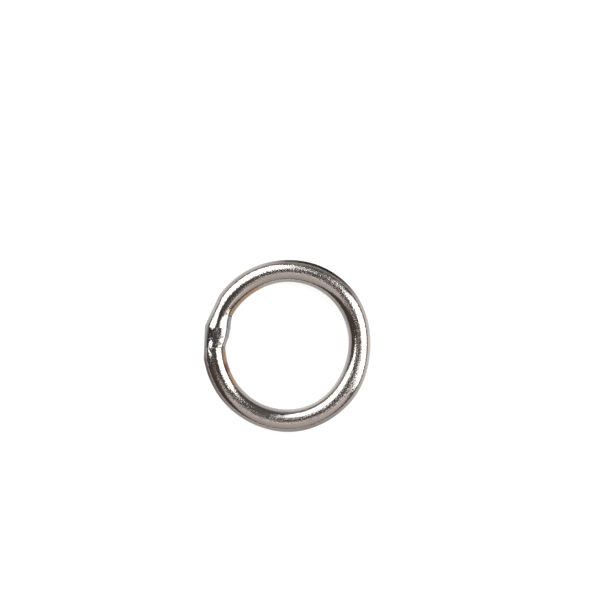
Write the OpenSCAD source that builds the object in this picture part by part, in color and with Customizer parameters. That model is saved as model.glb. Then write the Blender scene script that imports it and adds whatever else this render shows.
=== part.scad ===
// Split key ring: one spring wire coiled into two D-section turns that lie
// back to back, with a cranked crossover between them and two free ends.
// Z is the ring's axis and z = 0 the plane where the turns meet. The front
// turn is above it. The crossover is centred on -X. Turning the ring half a
// turn about X brings it back onto itself, so the back is made from the front.

/* [Ring] */
// Outside size along Y, the long axis of the slightly oval ring
outside_long = 25.3; // [22:0.1:32]
// Outside size along X, through the crossover
outside_short = 24.65; // [21.6:0.05:32]

/* [Wire] */
// Width of a turn, seen along the ring's axis
wire_w = 3.3; // [2.4:0.05:4]
// Height of one turn, from its flat inner face to its worn crest
turn_h = 1.62; // [1.1:0.01:1.9]
// Free gap between the two closed turns
turn_gap = 0.04; // [0.02:0.01:0.1]
// Edge break along both edges of a turn's flat face
edge_break = 0.16; // [0.08:0.01:0.3]

/* [Crossover] */
// Angle that the crossover takes, about the centre of the arc it lies on
crossover_angle = 28.4; // [24:0.2:40]
// Share of the crossover at which its two flats meet and the step down begins
crease = 0.5; // [0.4:0.01:0.6]
// Height of the crossover's low end above the mating plane. The cut end beside
// it stands higher, by the difference from a turn's own crest.
low_h = 1.34; // [0.8:0.01:1.5]
// Height of its widest line there, on the other side of that plane
belt_h = 0.2; // [0:0.01:0.4]
// How far the crossover bulges into the ring
bulge = 0.48; // [0.1:0.01:0.6]
// Share of the crossover at which the bulge starts
bulge_from = 0.06; // [0.02:0.01:0.15]
// Share of the crossover at which it has its full depth
bulge_full = 0.38; // [0.25:0.01:0.5]
// Free gap between a cut end and the crossover
end_gap = 0.12; // [0.08:0.01:0.3]

/* [Hidden] */

steel = "#c9c6c2";
warm_steel = "#bdb6ad";
tinted_steel = "#b7a48c";

// The mid-line of a turn is an oval of four arcs that meet at 45 degrees
corner = 45;
mid_long = (outside_long - wire_w) / 2;
mid_short = (outside_short - wire_w) / 2;
offset_c = (mid_long - mid_short) / (2 - sqrt(2));
end_r = mid_long - offset_c;
side_r = mid_short + offset_c;

half_cross = crossover_angle / 2;
gap_angle = end_gap / side_r * 180 / PI;

wire_r = wire_w / 2;
// Cutting shapes reach past the wire by this much
clear = 1;

// Crossover sweep: rings along it, points round each ring
rings = 36;
ring_points = 32;

// One turn's section: a half round with a worn crest and a flat, broken-edged
// inner face, drawn at its place above the mating plane
module section() {
    base = turn_gap / 2;
    intersection() {
        circle(r = wire_r, $fn = 64);
        polygon([
            [-wire_r + edge_break, base],
            [wire_r - edge_break, base],
            [wire_r + clear, base + edge_break + clear],
            [wire_r + clear, base + turn_h],
            [-wire_r - clear, base + turn_h],
            [-wire_r - clear, base + edge_break + clear]
        ]);
    }
}

// A stretch of the front turn on one arc, from angle a to angle b about centre
module stretch(centre, radius, a, b) {
    translate(centre)
        rotate_extrude(angle = b - a, start = a, $fn = 180)
            translate([radius, 0]) section();
}

// The front turn from +X round by +Y to an angle short of -X
module front_half(last) {
    stretch([-offset_c, 0], side_r, 0, corner);
    stretch([0, offset_c], end_r, corner, 180 - corner);
    stretch([offset_c, 0], side_r, 180 - corner, last);
}

// Share of the way from a to b, from 0 to 1
function ramp(value, a, b) = min(1, max(0, (value - a) / (b - a)));

// Crest height above the mating plane at share f of the crossover. Below the
// plane the crossover has the same shape, run from its other end.
function crest(f) =
    let (high = turn_h + turn_gap / 2)
    high + (low_h - high) * ramp(f, crease, 1);

// Height of the widest line at share f
function belt(f) = belt_h * cos(180 * f);

// Radii of the crossover's outer and inner edge at share f. The outside is two
// flats, which meet at the crease.
function outer_edge(f) =
    let (
        flat = f < crease ? [0, crease] : [crease, 1],
        half_flat = crossover_angle * (flat[1] - flat[0]) / 2,
        from_middle = crossover_angle * (f - (flat[0] + flat[1]) / 2)
    )
    (side_r + wire_r) * cos(half_flat) / cos(from_middle);
function inner_edge(f) =
    side_r - wire_r - bulge * ramp(min(f, 1 - f), bulge_from, bulge_full);

// A ring of points round the crossover's section at share f
function cross_ring(f) =
    let (
        angle = 180 - half_cross + crossover_angle * f,
        mid = (outer_edge(f) + inner_edge(f)) / 2,
        half = (outer_edge(f) - inner_edge(f)) / 2
    )
    [for (i = [0:ring_points - 1])
        let (
            t = 360 * i / ring_points,
            reach = mid + half * cos(t),
            above = (crest(f) - belt(f)) * max(0, sin(t)),
            below = (crest(1 - f) + belt(f)) * min(0, sin(t))
        )
        [offset_c + reach * cos(angle), reach * sin(angle), belt(f) + above + below]];

module crossover() {
    points = [for (k = [0:rings]) each cross_ring(k / rings)];
    walls = [for (k = [0:rings - 1], i = [0:ring_points - 1])
        let (
            next = (i + 1) % ring_points,
            here = k * ring_points,
            there = here + ring_points
        )
        [here + i, there + i, there + next, here + next]];
    first = [for (i = [0:ring_points - 1]) i];
    last = [for (i = [ring_points - 1:-1:0]) rings * ring_points + i];
    color(tinted_steel)
        polyhedron(points = points, faces = concat(walls, [first, last]), convexity = 4);
}

// The front turn beside the crossover's high end, part of the ring that holds still
module front_fixed_half() {
    color(steel) front_half(180 - half_cross);
}

// The front turn that ends in a cut end and springs away from the back turn
module front_free_half() {
    color(warm_steel)
        mirror([0, 1, 0]) front_half(180 - half_cross - gap_angle);
}

module back_fixed_half() {
    color(steel)
        rotate([180, 0, 0]) front_half(180 - half_cross);
}

module back_free_half() {
    color(warm_steel)
        rotate([180, 0, 0])
            mirror([0, 1, 0]) front_half(180 - half_cross - gap_angle);
}

front_fixed_half();
front_free_half();
crossover();
back_fixed_half();
back_free_half();
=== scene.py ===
# Split key ring: polished spring wire coiled back to back, lying on a white table,
# seen from straight above.
import math

import bmesh
import bpy
import numpy as np
from mathutils import Matrix, Vector
from mathutils.bvhtree import BVHTree


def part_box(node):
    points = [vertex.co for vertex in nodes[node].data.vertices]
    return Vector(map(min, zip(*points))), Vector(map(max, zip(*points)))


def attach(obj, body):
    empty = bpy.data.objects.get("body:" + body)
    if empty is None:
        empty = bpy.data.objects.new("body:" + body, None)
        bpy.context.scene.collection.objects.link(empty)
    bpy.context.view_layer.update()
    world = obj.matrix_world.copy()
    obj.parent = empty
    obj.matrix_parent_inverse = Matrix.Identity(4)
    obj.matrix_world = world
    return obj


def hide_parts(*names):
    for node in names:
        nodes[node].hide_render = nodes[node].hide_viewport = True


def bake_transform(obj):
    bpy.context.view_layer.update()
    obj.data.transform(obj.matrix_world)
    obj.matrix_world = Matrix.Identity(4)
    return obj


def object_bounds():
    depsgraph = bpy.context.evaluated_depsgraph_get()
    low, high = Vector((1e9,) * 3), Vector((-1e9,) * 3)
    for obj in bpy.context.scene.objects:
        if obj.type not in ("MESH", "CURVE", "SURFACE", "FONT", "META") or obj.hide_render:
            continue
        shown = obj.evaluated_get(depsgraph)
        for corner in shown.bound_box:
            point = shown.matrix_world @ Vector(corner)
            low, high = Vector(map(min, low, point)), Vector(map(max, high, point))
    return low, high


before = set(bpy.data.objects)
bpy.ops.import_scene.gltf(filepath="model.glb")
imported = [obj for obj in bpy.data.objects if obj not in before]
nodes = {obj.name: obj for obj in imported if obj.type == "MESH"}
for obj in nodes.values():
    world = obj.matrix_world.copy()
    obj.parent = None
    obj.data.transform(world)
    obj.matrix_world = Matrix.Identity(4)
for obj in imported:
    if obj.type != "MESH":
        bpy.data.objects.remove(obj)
cadBounds = [list(corner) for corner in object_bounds()]
scene = bpy.context.scene
mm = 0.001
print("frame loaded:", ", ".join(sorted(nodes)))

# points seen in the photograph, 600 x 600
photoSize = 600
edgePoints = {"left": 203.9, "right": 370.4, "top": 260.1, "bottom": 431.8}
imagePoints = {
    "highLineRidge": (223.5, 311.6),
    "highLineInner": (231.2, 317.6),
    "creaseOuter": (205.7, 325.3),
    "creaseTip": (213.2, 330.5),
    "bulgeInner": (229.6, 332.5),
    "cutLineRidge": (215.8, 347.2),
    "cutLineInner": (224.8, 346.6),
    "facetStart": (211.0, 340.5),
    "facetUpper": (210.3, 345.4),
    "facetMiddle": (210.8, 354.3),
    "facetEnd": (211.7, 360.2),
}

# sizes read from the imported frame
onPlane = 1e-6  # a corner this close to a plane lies on it
cutFace = [v.co for v in nodes["front_fixed_half"].data.vertices if abs(v.co.y) < onPlane]
halfLow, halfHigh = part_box("front_fixed_half")
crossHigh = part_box("crossover")[1]
wire = {
    "width": max(p.x for p in cutFace) - min(p.x for p in cutFace),
    "base": halfLow.z,  # the turn's flat inner face above the mating plane
    "top": halfHigh.z,  # its worn crest
    "edgeBreak": 0.16 * mm,
}
wire["half"] = wire["width"] / 2
oval = {
    "midShort": max(p.x for p in cutFace) - wire["half"],
    "midLong": halfHigh.y - wire["half"],
}
oval["offset"] = (oval["midLong"] - oval["midShort"]) / (2 - math.sqrt(2))
oval["endRadius"] = oval["midLong"] - oval["offset"]
oval["sideRadius"] = oval["midShort"] + oval["offset"]
halfCross = math.asin(crossHigh.y / (oval["sideRadius"] + wire["half"]))
print("wire %.2f mm wide, crossover %.1f degrees"
      % (wire["width"] / mm, math.degrees(2 * halfCross)))

cameraSet = {
    "lens": 100.0,
    "sensor": 36.0,
    "clip": (0.005, 20.0),
    "distance": 0.2451,
    "roll": 13.8,  # the crossover lies this many degrees above the photograph's left
    # where the view axis meets the ring's plane, to the photograph's right and up
    "aim": (1.893 * mm, 6.725 * mm),
}


def makeCamera(size):
    roll = math.radians(size["roll"])
    right = Vector((math.cos(roll), math.sin(roll), 0))
    up = Vector((-math.sin(roll), math.cos(roll), 0))
    data = bpy.data.cameras.new("photoCamera")
    data.lens, data.sensor_width, data.sensor_fit = size["lens"], size["sensor"], "AUTO"
    data.clip_start, data.clip_end = size["clip"]
    camera = bpy.data.objects.new("photoCamera", data)
    scene.collection.objects.link(camera)
    turn = Matrix((right, up, Vector((0, 0, 1)))).transposed()
    place = right * size["aim"][0] + up * size["aim"][1] + Vector((0, 0, size["distance"]))
    camera.matrix_world = Matrix.Translation(place) @ turn.to_4x4()
    scene.camera = camera
    return camera, right, up


camera, photoRight, photoUp = makeCamera(cameraSet)
bpy.context.view_layer.update()


def toPhoto(point):
    local = camera.matrix_world.inverted() @ Vector(point)
    focal = photoSize * cameraSet["lens"] / cameraSet["sensor"]
    return (photoSize / 2 - focal * local.x / local.z, photoSize / 2 + focal * local.y / local.z)


def treeOf(objects):
    corners, faces = [], []
    for item in objects:
        start = len(corners)
        corners += [item.matrix_world @ v.co for v in item.data.vertices]
        faces += [[start + i for i in p.vertices] for p in item.data.polygons]
    return BVHTree.FromPolygons(corners, faces)


def placeFromPhoto(name, tree):
    x, y = imagePoints[name]
    focal = photoSize * cameraSet["lens"] / cameraSet["sensor"]
    ray = Vector((x - photoSize / 2, photoSize / 2 - y, -focal))
    ray = (camera.matrix_world.to_3x3() @ ray).normalized()
    start = camera.matrix_world.translation
    hit = tree.ray_cast(start, ray)[0]
    if hit is None:
        reach = start + ray * (start.z / -ray.z)
        hit = tree.find_nearest(reach)[0]
    return hit


# wraps a node's socket, so that an expression on sockets adds its nodes
class Socket:
    def __init__(self, tree, socket=None):
        self.tree, self.socket = tree, socket

    def node(self, kind, settings=None, inputs=None, output=0):
        made = self.tree.nodes.new(kind)
        for name, value in (settings or {}).items():
            if name == "stops":
                ramp = made.color_ramp
                while len(ramp.elements) < len(value):
                    ramp.elements.new(0.5)
                for element, (place, colour) in zip(ramp.elements, value):
                    element.position, element.color = place, colour
            else:
                setattr(made, name, value)
        for name, value in (inputs or {}).items():
            if isinstance(value, Socket):
                self.tree.links.new(value.socket, made.inputs[name])
            else:
                made.inputs[name].default_value = value
        return Socket(self.tree, made.outputs[output] if len(made.outputs) else None)

    def other(self, name):
        return Socket(self.tree, self.socket.node.outputs[name])

    def math(self, operation, *values):
        return self.node("ShaderNodeMath", {"operation": operation}, dict(enumerate(values)))

    def __add__(self, value):
        return self.math("ADD", self, value)

    def __sub__(self, value):
        return self.math("SUBTRACT", self, value)

    def __rsub__(self, value):
        return self.math("SUBTRACT", value, self)

    def __mul__(self, value):
        return self.math("MULTIPLY", self, value)

    def __truediv__(self, value):
        return self.math("DIVIDE", self, value)

    def __rtruediv__(self, value):
        return self.math("DIVIDE", value, self)

    def __abs__(self):
        return self.math("ABSOLUTE", self)

    __radd__ = __add__
    __rmul__ = __mul__

    def least(self, value):
        return self.math("MINIMUM", self, value)

    def most(self, value):
        return self.math("MAXIMUM", self, value)

    def smooth(self, low, high):
        settings = {"interpolation_type": "SMOOTHSTEP"}
        inputs = {"Value": self, "From Min": low, "From Max": high}
        return self.node("ShaderNodeMapRange", settings, inputs)


def mixColour(start, factor, first, second):
    settings = {"data_type": "RGBA", "clamp_factor": True}
    return start.node("ShaderNodeMix", settings, {0: factor, 6: first, 7: second}, 2)


def newMaterial(name):
    material = bpy.data.materials.new(name)
    material.use_nodes = True
    material.node_tree.nodes.clear()
    return material, Socket(material.node_tree)


# lengths across the wire count from its crest, positive on the outer side
steel = {
    "colour": (0.56, 0.535, 0.512, 1),
    "flankShade": (0.40, 0.378, 0.358, 1),  # the sides, darker: painted shade that dims the table they mirror
    "flankTop": 1.2 * mm,  # they end this far from the mating plane
    "flankFull": 0.9 * mm,
    "straw": (0.43, 0.295, 0.205, 1),  # heat tints on the inner side, near the joint
    "purple": (0.25, 0.13, 0.12, 1),
    "strawFrom": 5.6 * mm,  # full up to here from the turn's nearer end
    "strawReach": 7.8 * mm,
    "purpleAt": 3.4 * mm,  # from the cut end
    "purpleWidth": 0.9 * mm,
    "purpleEdge": (0.4, 1.3),  # shares of that width over which it fades
    "tintAcross": (-1.0 * mm, -1.35 * mm),  # where the tints start and are full
    "roughness": 0.11,
    "wornRoughness": 0.1,  # on top of it, on the worn crest
    "rippleRoughness": 0.05,
    "grainAlong": 0.15 * mm,
    "grainAcross": 0.18 * mm,
    "grainLean": 0.6,
    "grainDetail": 0.0,
    "crestDepth": 0.025 * mm,  # pits on the worn crest
    "pitShade": (0.16, 0.148, 0.142, 1),  # the colours of the pits' floors and of their edges: painted shade in the floors and painted glints on the edges
    "pitGlint": (1.0, 0.965, 0.94, 1),
    "pitGrain": (0.33, 0.5),  # the grain's height where a floor ends and an edge is full
    "pitShare": 0.85,  # how much of the crest's colour is theirs
    "calm": 0.3,  # share of that depth left beside the joint
    "calmFrom": 2.5 * mm,  # from the turn's nearer end
    "calmTo": 9.0 * mm,
    "crestWidth": 0.46 * mm,  # either side of the crest
    "crestEdge": (0.45, 1.0),  # shares of that width over which the wear fades
    "sideDepth": 0.008 * mm,
    # rougher places: share of the crest's depth, from and to along the wire from the cut
    # end, then from and to across it
    "patches": [
        (1.4, 42.5 * mm, 50.0 * mm, 0.2 * mm, 1.2 * mm),
        (0.4, 8.5 * mm, 16.0 * mm, -1.0 * mm, -0.2 * mm),
        (0.5, 0.3 * mm, 5.0 * mm, 0.0, 1.0 * mm),
    ],
    "patchSoft": (1.2 * mm, 0.15 * mm),  # along the wire and across it
    "ripple": 0.9 * mm,
    "rippleDetail": 2.0,
    "rippleDepth": 0.005 * mm,
    "noiseRoughness": 0.6,
}
# the crossover's own look; lengths along it count from its high end
knuckleSteel = {
    "colour": (0.55, 0.545, 0.54, 1),
    # the sides, darker: painted shade that dims the table they mirror
    "flankShade": (0.40, 0.40, 0.395, 1),
    "grainDepth": 0.005 * mm,
    "patchDepth": 0.018 * mm,
    "patchRoughness": 0.12,  # on top of the turns' own
    "wander": 0.5 * mm,  # the spots' edges wander by up to half of this
    # the dark patch, whose colour is a painted dark reflection, and the grey streak beside it:
    # from, to and how soft, along the wire and across it, and the grain's height where the colour
    # starts and is full
    "spots": {
        "patch": {
            "along": (2.95 * mm, 4.45 * mm, 0.12 * mm),
            "across": (-0.07 * mm, 1.35 * mm, 0.06 * mm),
            "grain": (0.3, 0.6),
            # painted dark reflection; the patch's extra roughness and pits are real
            "colour": (0.08, 0.084, 0.08, 1),
        },
        "streak": {
            "along": (3.15 * mm, 5.0 * mm, 0.1 * mm),
            "across": (-0.45 * mm, -0.12 * mm, 0.08 * mm),
            "grain": (0.35, 0.5),
            "colour": (0.52, 0.49, 0.48, 1),
        },
    },
    "line": (0.37, 0.27, 0.2, 1),  # the line across the wire at each end: painted shade and edge reflection where the crossover meets each turn
    "lineWidth": 0.095 * mm,
    "lineEdge": (0.5, 1.4),  # shares of that width over which a line fades
    "lineAcross": (-0.25 * mm, -0.1 * mm),  # where the lines are full and where they end
    "lineLean": -0.115,
    "notch": (0.05, 0.045, 0.04, 1),  # the lines' dark inner ends: painted shade in the joint's notch
    "notchAt": -1.45 * mm,
    "notchSoft": 0.15 * mm,
    "length": 2 * halfCross * oval["sideRadius"],
}


def attribute(start, name):
    return start.node("ShaderNodeAttribute", {"attribute_name": name}, output="Fac")


def noiseOn(start, along, across, stepAlong, stepAcross, detail, rough, lean=0.0):
    spot = start.node("ShaderNodeCombineXYZ", {}, {
        0: along / stepAlong + across * (lean / stepAcross), 1: across / stepAcross})
    return start.node("ShaderNodeTexNoise", {"noise_dimensions": "2D"},
                      {"Vector": spot, "Scale": 1.0, "Detail": detail, "Roughness": rough})


def grainAndRipple(start, along, across, look):
    grain = noiseOn(start, along, across, look["grainAlong"], look["grainAcross"],
                    look["grainDetail"], look["noiseRoughness"], look["grainLean"])
    ripple = noiseOn(start, along, across, look["ripple"], look["ripple"],
                     look["rippleDetail"], look["noiseRoughness"])
    return grain, ripple


def within(value, low, high, soft):
    return value.smooth(low - soft, low + soft) * (1 - value.smooth(high - soft, high + soft))


def beside(distance, width, edge):  # 1 at a line, and 0 past its faded edge
    return 1 - distance.smooth(width * edge[0], width * edge[1])


def sidesOf(start, look):  # 1 on the wire's sides, where their painted shade goes, and 0 above them
    place = start.node("ShaderNodeTexCoord", output="Object")
    height = start.node("ShaderNodeSeparateXYZ", {}, {0: place}, "Z")
    return 1 - abs(height).smooth(look["flankFull"], look["flankTop"])


def finishSteel(start, colour, rough, relief):
    bump = start.node("ShaderNodeBump", {}, {"Height": relief, "Strength": 1.0, "Distance": mm})
    shader = start.node("ShaderNodeBsdfPrincipled", {}, {
        "Base Color": colour, "Metallic": 1.0, "Roughness": rough, "Normal": bump})
    start.node("ShaderNodeOutputMaterial", {}, {"Surface": shader})


def makeTurnSteel(look):
    material, start = newMaterial("polishedWire")
    fromCut, fromCross = attribute(start, "fromCut"), attribute(start, "fromCross")
    across = attribute(start, "fromCrest")
    near = fromCut.least(fromCross)
    grain, ripple = grainAndRipple(start, fromCut, across, look)
    worn = beside(abs(across), look["crestWidth"], look["crestEdge"])
    worn *= near.smooth(look["calmFrom"], look["calmTo"]) * (1 - look["calm"]) + look["calm"]
    paintedPitShare = worn * look["pitShare"]
    softAlong, softAcross = look["patchSoft"]
    for share, first, last, low, high in look["patches"]:
        patch = within(fromCut, first, last, softAlong) * within(across, low, high, softAcross)
        worn = worn.most(patch * share)
    depth = worn * ((look["crestDepth"] - look["sideDepth"]) / mm) + look["sideDepth"] / mm
    relief = grain * depth + ripple * (look["rippleDepth"] / mm)

    colour = mixColour(start, sidesOf(start, look), look["colour"], look["flankShade"])
    # darker in the grain's hollows and brighter on its highs: painted shade and glints
    pitShadeAndGlint = mixColour(start, grain.smooth(*look["pitGrain"]), look["pitShade"], look["pitGlint"])
    colour = mixColour(start, paintedPitShare, colour, pitShadeAndGlint)
    inner = across.smooth(*look["tintAcross"])
    straw = (1 - near.smooth(look["strawFrom"], look["strawReach"])) * inner
    colour = mixColour(start, straw, colour, look["straw"])
    purple = beside(abs(fromCut - look["purpleAt"]), look["purpleWidth"], look["purpleEdge"])
    colour = mixColour(start, purple * inner, colour, look["purple"])
    rough = look["roughness"] + (ripple - 0.5) * look["rippleRoughness"]
    finishSteel(start, colour, rough + worn.least(1.0) * look["wornRoughness"], relief)
    return material


def makeCrossSteel(look, knuckle):
    material, start = newMaterial("crossoverWire")
    along, across = attribute(start, "fromCut"), attribute(start, "fromCrest")
    grain, ripple = grainAndRipple(start, along, across, look)
    wander = (ripple - 0.5) * knuckle["wander"]
    colour = mixColour(start, sidesOf(start, look), knuckle["colour"], knuckle["flankShade"])
    masks = {}
    for name, spot in knuckle["spots"].items():
        mask = within(along + wander, *spot["along"]) * within(across + wander, *spot["across"])
        colour = mixColour(start, mask * grain.smooth(*spot["grain"]), colour, spot["colour"])
        masks[name] = mask
    depth = (knuckle["patchDepth"] - knuckle["grainDepth"]) / mm
    depth = masks["patch"] * depth + knuckle["grainDepth"] / mm
    relief = grain * depth + ripple * (look["rippleDepth"] / mm)

    # the lines at each end: painted shade and edge reflection, darkest at their inner ends
    highLine = abs(along - across * knuckle["lineLean"])
    toLine = highLine.least(abs(knuckle["length"] - along))
    line = beside(toLine, knuckle["lineWidth"], knuckle["lineEdge"])
    line *= 1 - across.smooth(*knuckle["lineAcross"])
    notchAt, soft = knuckle["notchAt"], knuckle["notchSoft"]
    notch = 1 - across.smooth(notchAt - soft, notchAt + soft)
    lineColour = mixColour(start, notch, knuckle["line"], knuckle["notch"])
    colour = mixColour(start, line, colour, lineColour)
    rough = look["roughness"] + masks["patch"] * knuckle["patchRoughness"]
    finishSteel(start, colour, rough, relief)
    return material


turnSteel = makeTurnSteel(steel)
crossSteel = makeCrossSteel(steel, knuckleSteel)
print("steel made")


turn = {
    "step": 0.15 * mm,  # distance between rings along the wire
    "endGap": 0.03 * mm,  # less than the frame's, as the photograph hardly shows the line
    "endSteps": (0.012 * mm, 0.03 * mm, 0.06 * mm),  # closer rings, at the cut end's broken edge
    "endRound": 0.035 * mm,
    "endShare": 0.012,
    "flatSteps": 8,  # round the section: the flat, each broken edge and each half of the arch
    "edgeSteps": 6,
    "archSteps": 30,
    "sharpAngle": 35,  # edges that turn by more degrees than this are shaded sharp
    "wave": 0.004 * mm,
    "waveSize": 2.2 * mm,
    "waveDetail": 1.0,
    "seed": 4,
}


def sectionPoints(size):  # the turn's section, from the left end of its flat, counterclockwise
    radius, base, top, edge = size["half"], size["base"], size["top"], size["edgeBreak"]
    flatSteps, edgeSteps, archSteps = turn["flatSteps"], turn["edgeSteps"], turn["archSteps"]
    flat = radius - edge

    def brokenEdge(x, start):
        angles = [math.radians(start + 90 * i / edgeSteps) for i in range(1, edgeSteps)]
        return [(x + edge * math.cos(a), base + edge + edge * math.sin(a)) for a in angles]

    first = math.asin((base + edge) / radius)
    last = math.asin(top / radius)
    arc = [first + (last - first) * i / archSteps for i in range(archSteps + 1)]
    right = [(radius * math.cos(a), radius * math.sin(a)) for a in arc]
    points = [(-flat + 2 * flat * i / flatSteps, base) for i in range(flatSteps + 1)]
    points += brokenEdge(flat, -90)
    points += right
    points.append((0, top))
    points += [(-x, z) for x, z in reversed(right)]
    points += brokenEdge(-flat, 180)
    return points


def pathPoints(size, step, gap):
    offset = size["offset"]
    gapAngle = gap / size["sideRadius"]
    eighth = math.pi / 4
    arcs = [  # centre, radius, first and last angle
        ((offset, 0), size["sideRadius"], math.pi + halfCross + gapAngle, 5 * eighth),
        ((0, -offset), size["endRadius"], 5 * eighth, 7 * eighth),
        ((-offset, 0), size["sideRadius"], 7 * eighth, 9 * eighth),
        ((0, offset), size["endRadius"], eighth, 3 * eighth),
        ((offset, 0), size["sideRadius"], 3 * eighth, math.pi - halfCross),
    ]
    points = []
    for (x, y), radius, first, last in arcs:
        count = max(2, round((last - first) * radius / step))
        angles = [first + (last - first) * i / count for i in range(count)]
        if not points:
            angles[1:1] = [first + near / radius for near in turn["endSteps"]]
        points += [(x + radius * math.cos(a), y + radius * math.sin(a), 0) for a in angles]
    points.append((x + radius * math.cos(last), y + radius * math.sin(last), 0))
    return points


def polyCurve(name, points, closed=False):
    data = bpy.data.curves.new(name, "CURVE")
    data.dimensions = "3D"
    spline = data.splines.new("POLY")
    spline.points.add(len(points) - 1)
    for point, place in zip(spline.points, points):
        point.co = (*place, 1)
    spline.use_cyclic_u = closed
    made = bpy.data.objects.new(name, data)
    scene.collection.objects.link(made)
    return made


def turnTree():
    tree = bpy.data.node_groups.new("sweepTurn", "GeometryNodeTree")
    sockets = {
        "Geometry": "Geometry", "Section": "Object", "Crest": "Float", "End Round": "Float",
        "End Share": "Float", "Wave Depth": "Float", "Wave Size": "Float", "Wave Detail": "Float",
        "Seed": "Float", "Material": "Material",
    }
    ids = {}
    for name, kind in sockets.items():
        kind = "NodeSocket" + kind
        ids[name] = tree.interface.new_socket(name, in_out="INPUT", socket_type=kind).identifier
    tree.interface.new_socket("Geometry", in_out="OUTPUT", socket_type="NodeSocketGeometry")
    start = Socket(tree)

    def marked(geometry, name, value):
        settings = {"data_type": "FLOAT", "domain": "POINT"}
        inputs = {"Geometry": geometry, "Name": name, "Value": value}
        return start.node("GeometryNodeStoreNamedAttribute", settings, inputs)

    given = start.node("NodeGroupInput")
    along = start.node("GeometryNodeSplineParameter", output="Length")
    length = start.node("GeometryNodeCurveLength", {}, {"Curve": given})
    path = start.node("GeometryNodeSetCurveNormal", {"mode": "Z_UP"}, {"Curve": given})
    path = marked(path, "fromCut", along)
    path = marked(path, "fromCross", length - along)
    taper = 1 - given.other("End Share") * (1 - along.smooth(0.0, given.other("End Round")))
    section = start.node("GeometryNodeObjectInfo", {"transform_space": "ORIGINAL"},
                         {"Object": given.other("Section")}, "Geometry")
    around = start.node("GeometryNodeSplineParameter", output="Length")
    section = marked(section, "fromCrest", around - given.other("Crest"))
    swept = start.node("GeometryNodeCurveToMesh", {}, {
        "Curve": path, "Profile Curve": section, "Scale": taper, "Fill Caps": True})
    noise = start.node("ShaderNodeTexNoise", {"noise_dimensions": "4D"}, {
        "Vector": start.node("GeometryNodeInputPosition"), "W": given.other("Seed"),
        "Scale": 1 / given.other("Wave Size"), "Detail": given.other("Wave Detail")})
    push = start.node("ShaderNodeVectorMath", {"operation": "SCALE"}, {
        0: start.node("GeometryNodeInputNormal"),
        "Scale": (noise - 0.5) * 2 * given.other("Wave Depth")})
    waved = start.node("GeometryNodeSetPosition", {}, {"Geometry": swept, "Offset": push})
    real = start.node("GeometryNodeRealizeInstances", {}, {"Geometry": waved})
    dressed = start.node("GeometryNodeSetMaterial", {}, {
        "Geometry": real, "Material": given.other("Material")})
    start.node("NodeGroupOutput", {}, {"Geometry": dressed})
    return tree, ids


mergeGap = 1e-8  # corners this close together are one


def finishMesh(name, mesh, material, sharpAngle):
    shape = bmesh.new()
    shape.from_mesh(mesh)
    bmesh.ops.remove_doubles(shape, verts=shape.verts, dist=mergeGap)
    bmesh.ops.recalc_face_normals(shape, faces=shape.faces)
    for face in shape.faces:
        face.smooth = True
    limit = math.radians(sharpAngle)
    for edge in shape.edges:
        edge.smooth = len(edge.link_faces) == 2 and edge.calc_face_angle() < limit
    shape.to_mesh(mesh)
    shape.free()
    mesh.materials.clear()
    mesh.materials.append(material)
    made = bpy.data.objects.new(name, mesh)
    scene.collection.objects.link(made)
    return made


def makeTurns():
    path = polyCurve("turnPath", pathPoints(oval, turn["step"], turn["endGap"]))
    corners = sectionPoints(wire)
    # drawn upside down, as the sweep turns it over
    section = polyCurve("turnSection", [(-x, -z, 0) for x, z in corners], closed=True)
    crestAt = corners.index((0, wire["top"]))
    crestLength = sum(math.dist(p, q) for p, q in zip(corners[:crestAt], corners[1:]))
    tree, ids = turnTree()
    modifier = path.modifiers.new("sweep", "NODES")
    modifier.node_group = tree
    values = {
        "Section": section, "Crest": crestLength, "Material": turnSteel,
        "End Round": turn["endRound"], "End Share": turn["endShare"],
        "Wave Depth": turn["wave"], "Wave Size": turn["waveSize"],
        "Wave Detail": turn["waveDetail"], "Seed": float(turn["seed"]),
    }
    for name, value in values.items():
        modifier[ids[name]] = value
    bpy.context.view_layer.update()
    swept = path.evaluated_get(bpy.context.evaluated_depsgraph_get())
    made = []
    for name, turned in (("frontTurn", 0), ("backTurn", math.pi)):
        mesh = bpy.data.meshes.new_from_object(swept)
        mesh.transform(Matrix.Rotation(turned, 4, "X"))
        made.append(finishMesh(name, mesh, turnSteel, turn["sharpAngle"]))
    for item in (path, section):
        bpy.data.objects.remove(item)
    return made


frontTurn, backTurn = makeTurns()
print("turns swept: %d faces each" % len(frontTurn.data.polygons))


# places along the crossover are shares of its length from its high end, and places across it
# shares of its half width from the ridge
cross = {
    "rings": 160,
    "around": 144,
    "sharpAngle": 20,
    "crease": 0.5,  # where the two outer flats meet
    "creaseRidge": 0.45,  # where the step down begins, on the ridge
    "creaseTip": 0.555,  # and at the tip of the V that it makes on the outer side
    "tipAcross": 0.42,
    "knee": 0.74,  # the step is steep down to here
    "kneeShare": 0.68,
    "lowEnd": 1.34 * mm,
    "bulge": 0.48 * mm,
    "bulgeHigh": 0.4,  # where the bulge has its full depth
    "bulgeLow": 0.33,  # and the share that it takes to come back at the low end
    "ridgeRound": 0.05,  # how far across the ridge is rounded
    "ridgeTilt": 0.26,  # tilt of the pressed facets beside the ridge
    "facetTilt": 0.56,  # and at their far edge
    "facetEnd": 0.59,
    "wallFrom": 0.66,  # the side wall starts here, with this tilt
    "wallTilt": 0.74,
    "ridgeGrows": (2.5, 6.0),  # how soon the facets are full past the high end, outside and inside
    "ridgeShift": 0.45 * mm,  # the ridge follows the bulge, as far as this
    "shiftFrom": (0.12, 0.68),  # from where to where it leaves the middle, and comes back
    "shiftBack": (0.82, 1.03),
    "flatAngle": math.radians(21.6),  # how far each outer flat runs from the crossover's middle
}


def ramp(value, low, high):
    return min(1.0, max(0.0, (value - low) / (high - low)))


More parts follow.
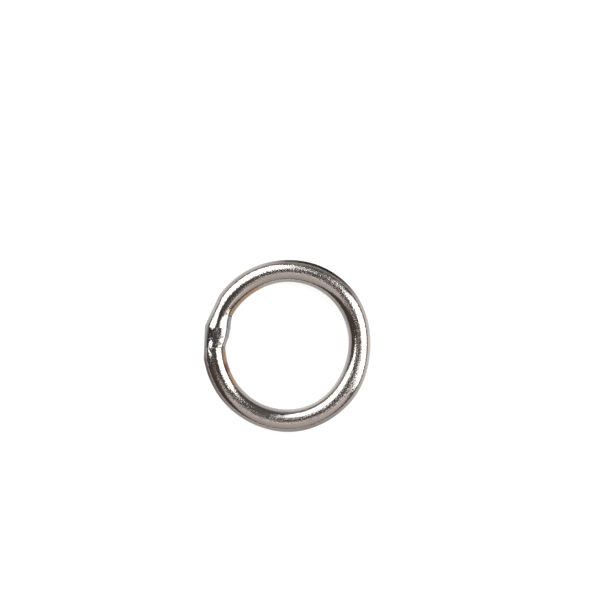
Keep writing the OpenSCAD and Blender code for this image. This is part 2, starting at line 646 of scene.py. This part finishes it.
def crest(f, across):
    tip = max(0.0, 1 - abs(across - cross["tipAcross"]) / cross["tipAcross"])
    start = cross["creaseRidge"] + (cross["creaseTip"] - cross["creaseRidge"]) * tip
    steep, gentle = ramp(f, start, cross["knee"]), ramp(f, cross["knee"], 1)
    drop = cross["kneeShare"] * steep + (1 - cross["kneeShare"]) * gentle
    return wire["top"] + (cross["lowEnd"] - wire["top"]) * drop


def flatRadius(angle, radius):  # outer radius at an angle from the crossover's middle
    half = cross["flatAngle"] / 2
    away = abs(angle) - half
    return radius * math.cos(half) / math.cos(away) if abs(away) < half else radius


def innerEdge(f):
    swell = min(1.0, f / cross["bulgeHigh"], (1 - f) / cross["bulgeLow"])
    return oval["sideRadius"] - wire["half"] - cross["bulge"] * swell


def ease(u):
    return u * u * (3 - 2 * u)


def ridgeRadius(f):
    there = ease(ramp(f, *cross["shiftFrom"])) * (1 - ease(ramp(f, *cross["shiftBack"])))
    return oval["sideRadius"] - cross["ridgeShift"] * there


def pressedTilt(u):  # surface tilt of the fully pressed section, u from its ridge to its edge
    stops = [(0, 0), (cross["ridgeRound"], cross["ridgeTilt"]),
             (cross["facetEnd"], cross["facetTilt"]),
             (cross["wallFrom"], cross["wallTilt"]), (1, 1)]
    return float(np.interp(u, *zip(*stops)))


def halfSection(f, grows):  # share of the crest's height at each step out from the ridge
    steps = cross["around"] // 4
    sharp = 1 - (1 - min(f, 1 - f) / cross["crease"]) ** grows
    us = [math.sin(math.pi / 2 * k / steps) for k in range(steps + 1)]
    slopes = [math.asin((1 - sharp) * u + sharp * pressedTilt(u)) for u in us]
    heights = [0.0]
    for k in range(steps, 0, -1):
        slope = (slopes[k] + slopes[k - 1]) / 2
        heights.append(heights[-1] + math.tan(slope) * (us[k] - us[k - 1]))
    heights.reverse()
    return [(u, h / heights[0]) for u, h in zip(us, heights)]


def crossRing(f):  # points round the section, from the outer edge over the front and back below
    turned = 2 * halfCross * (f - 0.5)
    angle = math.pi + turned
    outer, inner = flatRadius(turned, oval["sideRadius"] + wire["half"]), innerEdge(f)
    ring = []
    for side, share in ((1, f), (-1, 1 - f)):
        ridge = ridgeRadius(share)
        outerHalf = halfSection(share, cross["ridgeGrows"][0])
        innerHalf = [(-u, h) for u, h in halfSection(share, cross["ridgeGrows"][1])]
        across = (outerHalf[:0:-1] + innerHalf)[::side]
        for u, h in across[:-1]:
            reach = ridge + (outer - ridge if u > 0 else ridge - inner) * u
            place = Vector((oval["offset"] + reach * math.cos(angle), reach * math.sin(angle),
                            side * crest(share, u) * h))
            ring.append((place, wire["half"] * math.asin(u)))
    return ring


def makeCrossover():
    shape = bmesh.new()
    alongMark = shape.verts.layers.float.new("fromCut")
    acrossMark = shape.verts.layers.float.new("fromCrest")
    rows = []
    for i in range(cross["rings"] + 1):
        f = i / cross["rings"]
        row = []
        for place, across in crossRing(f):
            spot = shape.verts.new(place)
            spot[alongMark] = f * knuckleSteel["length"]
            spot[acrossMark] = across
            row.append(spot)
        rows.append(row)
    for near, far in zip(rows, rows[1:]):
        for k in range(len(near)):
            nextK = (k + 1) % len(near)
            shape.faces.new((near[k], far[k], far[nextK], near[nextK]))
    shape.faces.new(rows[0])
    shape.faces.new(list(reversed(rows[-1])))
    mesh = bpy.data.meshes.new("crossoverWire")
    shape.to_mesh(mesh)
    shape.free()
    return finishMesh("crossoverJoggle", mesh, crossSteel, cross["sharpAngle"])


def pressFlats(mesh):  # the two outer flats run on into the turns beside the crossover
    for corner in mesh.vertices:
        x, y = corner.co.x - oval["offset"], corner.co.y
        reach, angle = math.hypot(x, y), math.atan2(-y, -x)
        if abs(angle) < cross["flatAngle"] and reach > oval["sideRadius"]:
            pressed = flatRadius(angle, oval["sideRadius"] + wire["half"]) - oval["sideRadius"]
            reachNew = oval["sideRadius"] + (reach - oval["sideRadius"]) * pressed / wire["half"]
            corner.co.x = oval["offset"] + x * reachNew / reach
            corner.co.y = y * reachNew / reach


# a lens-shaped flat pressed into the outer side, across the cut line
facet = {
    "tilt": (-0.36, 0.035),  # of its surface, to the photograph's right and up
    "halfWidth": 0.16 * mm,
    "depth": 0.024 * mm,  # how far it is pressed in
    "soft": 0.8,  # share of its width and length inside which it is full
}


def tiltedNormal(right, up):  # of a surface tilted to the photograph's right and up
    return photoRight * right + photoUp * up + Vector((0, 0, math.sqrt(1 - right**2 - up**2)))


def pressFacet(item, size, seat):
    tree = treeOf([item])
    first, last = placeFromPhoto("facetStart", tree), placeFromPhoto("facetEnd", tree)
    middle = placeFromPhoto(seat, tree)
    normal = tiltedNormal(*size["tilt"])
    along = (last - first) - normal * (last - first).dot(normal)
    halfLength = along.length / 2
    along.normalize()
    across = normal.cross(along)
    centre = (first + last) / 2
    level = middle.dot(normal) - size["depth"]
    for corner in item.data.vertices:
        place = corner.co
        lengthwise = (place - centre).dot(along) / halfLength
        out = math.hypot(lengthwise, (place - middle).dot(across) / size["halfWidth"])
        inside = 1 - ease(ramp(out, size["soft"], 2 - size["soft"]))
        corner.co = place - normal * max(0.0, place.dot(normal) - level) * inside


# how far the ring's edges lie outside the frame's oval: the mean, then the waves that make it
# out of round, as times round the ring and cosine and sine shares, by angle in the photograph
edgeWaves = {
    "outer": (0.05 * mm, [
        (1, 0.016 * mm, 0.027 * mm), (2, 0.01 * mm, -0.034 * mm), (3, -0.058 * mm, 0.036 * mm),
        (4, -0.022 * mm, 0.007 * mm), (5, -0.018 * mm, -0.006 * mm),
        (6, -0.015 * mm, -0.004 * mm), (7, -0.012 * mm, 0.016 * mm)]),
    "inner": (0.01 * mm, [
        (1, -0.022 * mm, 0.038 * mm), (2, -0.004 * mm, 0.003 * mm), (3, -0.039 * mm, 0.058 * mm),
        (4, -0.005 * mm, 0.004 * mm), (5, 0.012 * mm, 0.021 * mm), (7, 0.01 * mm, -0.002 * mm)]),
}


def edgeShift(side, angle):
    mean, waves = edgeWaves[side]
    return mean + sum(a * math.cos(count * angle) + b * math.sin(count * angle)
                      for count, a, b in waves)


def outOfRound(place):
    x, y = place.x, place.y
    reach = math.hypot(x, y)
    middle = math.hypot(oval["midShort"] * x, oval["midLong"] * y) / reach
    share = min(1.0, max(0.0, 0.5 + (reach - middle) / wire["width"]))
    angle = math.atan2(y, x) - math.radians(cameraSet["roll"])
    shift = share * edgeShift("outer", angle) + (1 - share) * edgeShift("inner", angle)
    return place + Vector((x, y, 0)) * (shift / reach)


crossover = makeCrossover()
for item in (frontTurn, backTurn):
    pressFlats(item.data)
for item in (frontTurn, backTurn, crossover):
    for corner in item.data.vertices:
        corner.co = outOfRound(corner.co)
pressFacet(frontTurn, facet, "facetMiddle")
pressFacet(crossover, facet, "facetUpper")
print("crossover made: %d faces" % len(crossover.data.polygons))

# each turn's placement is baked into its mesh
for piece, leaf, sign in ((frontTurn, "front_leaf", 1), (backTurn, "back_leaf", -1)):
    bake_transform(piece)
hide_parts("front_fixed_half", "front_free_half")
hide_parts("back_fixed_half", "back_free_half")
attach(crossover, "ring")
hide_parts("crossover")

studio = {
    "floorSize": 3.0,
    "floor": (0.3, 0.3, 0.3, 1),
    "lift": 0.85,  # the camera sees the table this much brighter
    "world": (0.085, 0.068, 0.058, 1),
    "panelDistance": 0.9,
}


def emissive(name, colour, strength):
    material, start = newMaterial(name)
    bright = start.node("ShaderNodeAttribute", {"attribute_name": "bright"}, output="Fac")
    glow = start.node("ShaderNodeEmission", {}, {"Color": colour, "Strength": bright * strength})
    start.node("ShaderNodeOutputMaterial", {}, {"Surface": glow})
    return material


def mirrorCorner(shape, bright, right, up, glow):  # where a surface with that tilt mirrors it
    normal = tiltedNormal(right, up)
    corner = shape.verts.new((2 * normal.z * normal - Vector((0, 0, 1))) * studio["panelDistance"])
    corner[bright] = glow
    return corner


def hiddenGlow(name, shape, colour, strength):  # lights the ring, but the camera doesn't see it
    mesh = bpy.data.meshes.new(name)
    shape.to_mesh(mesh)
    shape.free()
    mesh.materials.append(emissive(name, colour, strength))
    made = bpy.data.objects.new(name, mesh)
    scene.collection.objects.link(made)
    made.visible_camera = False
    return made


# for each panel its strength and colour, then its corners: the tilt of the wire's surface, to
# the photograph's right and up, that mirrors a corner to the camera, and the corner's glow
panels = {
    "softboxLeft": (2.6, (1, 1, 1, 1), [
        (0.01, 0.29, 1), (0.03, 0.37, 1), (0.01, 0.5, 1), (-0.085, 0.588, 1),
        (-0.303, 0.53, 1), (-0.475, 0.4, 1), (-0.55, 0.245, 1), (-0.47, 0.083, 1),
        (-0.42, 0.02, 1), (-0.352, -0.015, 1), (-0.29, 0.02, 1), (-0.26, 0.075, 1),
        (-0.205, 0.168, 1), (-0.09, 0.25, 1)]),
    "softboxRight": (2.6, (1, 1, 1, 1), [
        (0.213, 0.045, 1), (0.219, -0.017, 1), (0.247, -0.08, 1), (0.272, -0.135, 1),
        (0.415, -0.255, 1), (0.49, -0.315, 1), (0.56, -0.298, 1), (0.61, -0.108, 1),
        (0.605, 0.107, 1), (0.57, 0.27, 1), (0.49, 0.325, 1), (0.315, 0.262, 1),
        (0.233, 0.206, 1), (0.208, 0.152, 1)]),
    "bounceCard": (0.8, (1.0, 0.9, 0.86, 1), [
        (-0.19, -0.12, 1), (-0.045, -0.11, 1), (0.01, -0.115, 1), (0.085, -0.145, 0.65),
        (0.215, -0.175, 0.4), (0.31, -0.18, 1.8), (0.36, -0.27, 0.8), (0.42, -0.37, 0.9),
        (0.33, -0.54, 0.6), (0.0, -0.7, 0.5), (-0.2, -0.64, 0.55), (-0.32, -0.49, 0.65),
        (-0.31, -0.31, 0.75), (-0.29, -0.2, 0.9)]),
    "dimCard": (0.14, (1.0, 0.93, 0.9, 1), [
        (0.12, 0.24, 1), (0.24, 0.24, 1), (0.42, 0.34, 1), (0.44, 0.46, 0.7), (0.2, 0.6, 0.7),
        (0.08, 0.55, 1), (0.11, 0.37, 1)]),
}


def makePanel(name, strength, colour, corners):
    shape = bmesh.new()
    bright = shape.verts.layers.float.new("bright")
    spots = [mirrorCorner(shape, bright, *corner) for corner in corners]
    middle = shape.verts.new(sum((spot.co for spot in spots), Vector()) / len(spots))
    middle[bright] = sum(spot[bright] for spot in spots) / len(spots)
    for near, far in zip(spots, spots[1:] + spots[:1]):
        shape.faces.new((middle, near, far))
    panel = hiddenGlow(name, shape, colour, strength)


# the far wall, seen by the wire's steep sides
wall = {
    "tilts": (math.sqrt(0.5), 0.63),  # it rises from the horizon, which the first tilt mirrors
    "tone": (1.0, 0.84, 0.76, 1),
    "glow": [  # how brightly, by the direction it stands in, in the photograph
        (0, 0.24), (15, 0.15), (30, 0.1), (45, 0.08), (60, 0.09), (75, 0.15), (90, 0.32),
        (105, 0.24), (150, 0.16), (170, 0.12), (185, 0.06), (235, 0.06), (250, 0.18), (290, 0.22),
        (310, 0.17), (330, 0.22), (360, 0.24)],
}


def makeWall():
    shape = bmesh.new()
    bright = shape.verts.layers.float.new("bright")
    rows = []
    for degrees, glow in wall["glow"]:
        right, up = math.cos(math.radians(degrees)), math.sin(math.radians(degrees))
        rows.append([mirrorCorner(shape, bright, tilt * right, tilt * up, glow)
                     for tilt in wall["tilts"]])
    for near, far in zip(rows, rows[1:]):
        shape.faces.new((near[0], far[0], far[1], near[1]))
    made = hiddenGlow("farWall", shape, wall["tone"], 1.0)


# how brightly the polished sides see the table, outside the ring and inside it, by angle in the
# photograph: a painted reflection, whose dark dips and dimmer middle are the ring's painted shadow
# on the table
tableGlow = {
    "outside": [
        (0, 1.3), (20, 1.2), (30, 1.1), (40, 0.55), (50, 0.18), (60, 0.06), (70, 0.06),
        (80, 0.1), (90, 0.28), (100, 0.85), (110, 1.15), (130, 1.0), (150, 1.05), (172, 0.9),
        (190, 0.32), (200, 0.24), (210, 0.4), (230, 0.62), (255, 0.67), (270, 0.65),
        (285, 0.56), (305, 0.7), (330, 1.0), (345, 1.25), (360, 1.3)],
    "inside": [
        (0, 0.97), (10, 1.05), (25, 0.88), (40, 0.79), (80, 0.79), (100, 0.9), (130, 0.8),
        (195, 0.8), (215, 0.95), (265, 1.05), (280, 1.28), (330, 1.28), (345, 1.05), (360, 0.97)],
    "insideEdge": 0.1 * mm,  # they meet under the wire, over this much either side
    "far": 0.62,  # what the outside fades to, between these lengths from the ring's centre
    "farFrom": 21 * mm,
    "farFull": 36 * mm,
    "middle": 0.75,  # share left at the ring's centre
    "middleReach": 5 * mm,
    "tone": (1.0, 0.985, 0.965, 1),
    "shade": (1.0, 0.84, 0.77, 1),  # its tone where it is seen dark, and far out
    "shadeTo": 0.55,  # the brightness at which that tone has gone
    "shadeFar": 0.8,
}


def tableSeen(start):  # how brightly a polished side sees each spot of the table, and its tone
    place = start.node("ShaderNodeTexCoord", output="Object")
    x = start.node("ShaderNodeSeparateXYZ", {}, {0: place}, "X")
    y = x.other("Y")
    angle = x.math("ARCTAN2", y, x) - math.radians(cameraSet["roll"])
    share = angle.math("FRACT", angle / (2 * math.pi))
    reach = start.node("ShaderNodeVectorMath", {"operation": "LENGTH"}, {0: place}, "Value")
    sides = {}
    for side in ("inside", "outside"):
        stops = [(degrees / 360, (b, b, b, 1)) for degrees, b in tableGlow[side]]
        sides[side] = start.node("ShaderNodeValToRGB", {"stops": stops}, {"Fac": share})
    left = tableGlow["middle"]
    inside = sides["inside"] * (reach.smooth(0, tableGlow["middleReach"]) * (1 - left) + left)
    far = reach.smooth(tableGlow["farFrom"], tableGlow["farFull"])
    outside = sides["outside"] * (1 - far) + far * tableGlow["far"]
    edge = tableGlow["insideEdge"]
    beyond = reach.smooth(oval["midShort"] - edge, oval["midShort"] + edge)
    bright = inside * (1 - beyond) + outside * beyond
    plain = bright.smooth(0.0, tableGlow["shadeTo"]) * (1 - far * tableGlow["shadeFar"])
    return bright, mixColour(start, plain, tableGlow["shade"], tableGlow["tone"])


def makeFloor():
    size, low = studio["floorSize"], cadBounds[0][2]
    corners = [(x, y, low) for x, y in ((-size, -size), (size, -size), (size, size), (-size, size))]
    mesh = bpy.data.meshes.new("whiteTable")
    mesh.from_pydata(corners, [], [(0, 1, 2, 3)])
    material, start = newMaterial("whiteTable")
    path = start.node("ShaderNodeLightPath", output="Is Camera Ray")
    seen = path.most(path.other("Is Transmission Ray"))
    chalk = start.node("ShaderNodeBsdfDiffuse", {}, {"Color": studio["floor"]})
    glow = start.node("ShaderNodeEmission", {}, {
        "Color": (1, 1, 1, 1), "Strength": seen * studio["lift"]})
    both = start.node("ShaderNodeAddShader", {}, {0: chalk, 1: glow})
    bright, tone = tableSeen(start)
    # the table as the ring's reflections see it: a painted reflection, with the ring's shadow
    # painted into its dark dips
    paintedTableReflection = start.node("ShaderNodeEmission", {}, {"Color": tone, "Strength": bright})
    both = start.node("ShaderNodeMixShader", {}, {
        0: path.other("Is Glossy Ray"), 1: both, 2: paintedTableReflection})
    behind = start.node("ShaderNodeNewGeometry", output="Backfacing")
    clear = start.node("ShaderNodeBsdfTransparent")
    whole = start.node("ShaderNodeMixShader", {}, {0: behind, 1: both, 2: clear})
    start.node("ShaderNodeOutputMaterial", {}, {"Surface": whole})
    mesh.materials.append(material)
    floor = bpy.data.objects.new("whiteTable", mesh)
    scene.collection.objects.link(floor)


def makeWorld():
    world = bpy.data.worlds.new("dimStudio")
    world.use_nodes = True
    world.node_tree.nodes.clear()
    start = Socket(world.node_tree)
    back = start.node("ShaderNodeBackground", {}, {"Color": studio["world"], "Strength": 1.0})
    start.node("ShaderNodeOutputWorld", {}, {"Surface": back})
    scene.world = world


for name, (strength, colour, corners) in panels.items():
    makePanel(name, strength, colour, corners)
makeWall()
makeFloor()
makeWorld()
scene.view_settings.view_transform = "Standard"
print("studio made")


# how far each point shows from where the photograph has it
def checkPoints():
    bpy.context.view_layer.update()
    shown = [toPhoto(item.matrix_world @ v.co) for item in (frontTurn, backTurn, crossover)
             for v in item.data.vertices]
    xs, ys = [p[0] for p in shown], [p[1] for p in shown]
    found = {"left": min(xs), "right": max(xs), "top": min(ys), "bottom": max(ys)}
    offsets = {name: round(found[name] - edgePoints[name], 2) for name in edgePoints}

    crossWidth = wire["half"] * math.pi / 2
    tipAcross = wire["half"] * math.asin(cross["tipAcross"])
    features = {  # share of the crossover, and length across it from the ridge
        "highLineRidge": (0, 0), "highLineInner": (0, -crossWidth),
        "creaseOuter": (cross["crease"], crossWidth), "creaseTip": (cross["creaseTip"], tipAcross),
        "bulgeInner": (cross["crease"], -crossWidth),
        "cutLineRidge": (1, 0), "cutLineInner": (1, -crossWidth),
    }
    for name, (f, across) in features.items():
        place = min(crossRing(f), key=lambda spot: abs(spot[1] - across))[0]
        x, y = toPhoto(outOfRound(place))
        offsets[name] = [round(x - imagePoints[name][0], 2), round(y - imagePoints[name][1], 2)]
    facetPoints = {"facetUpper": crossover, "facetMiddle": frontTurn, "facetEnd": frontTurn}
    for name, item in facetPoints.items():
        x, y = toPhoto(placeFromPhoto(name, treeOf([item])))
        offsets[name] = [round(x - imagePoints[name][0], 2), round(y - imagePoints[name][1], 2)]
    print("points:", offsets)


checkPoints()
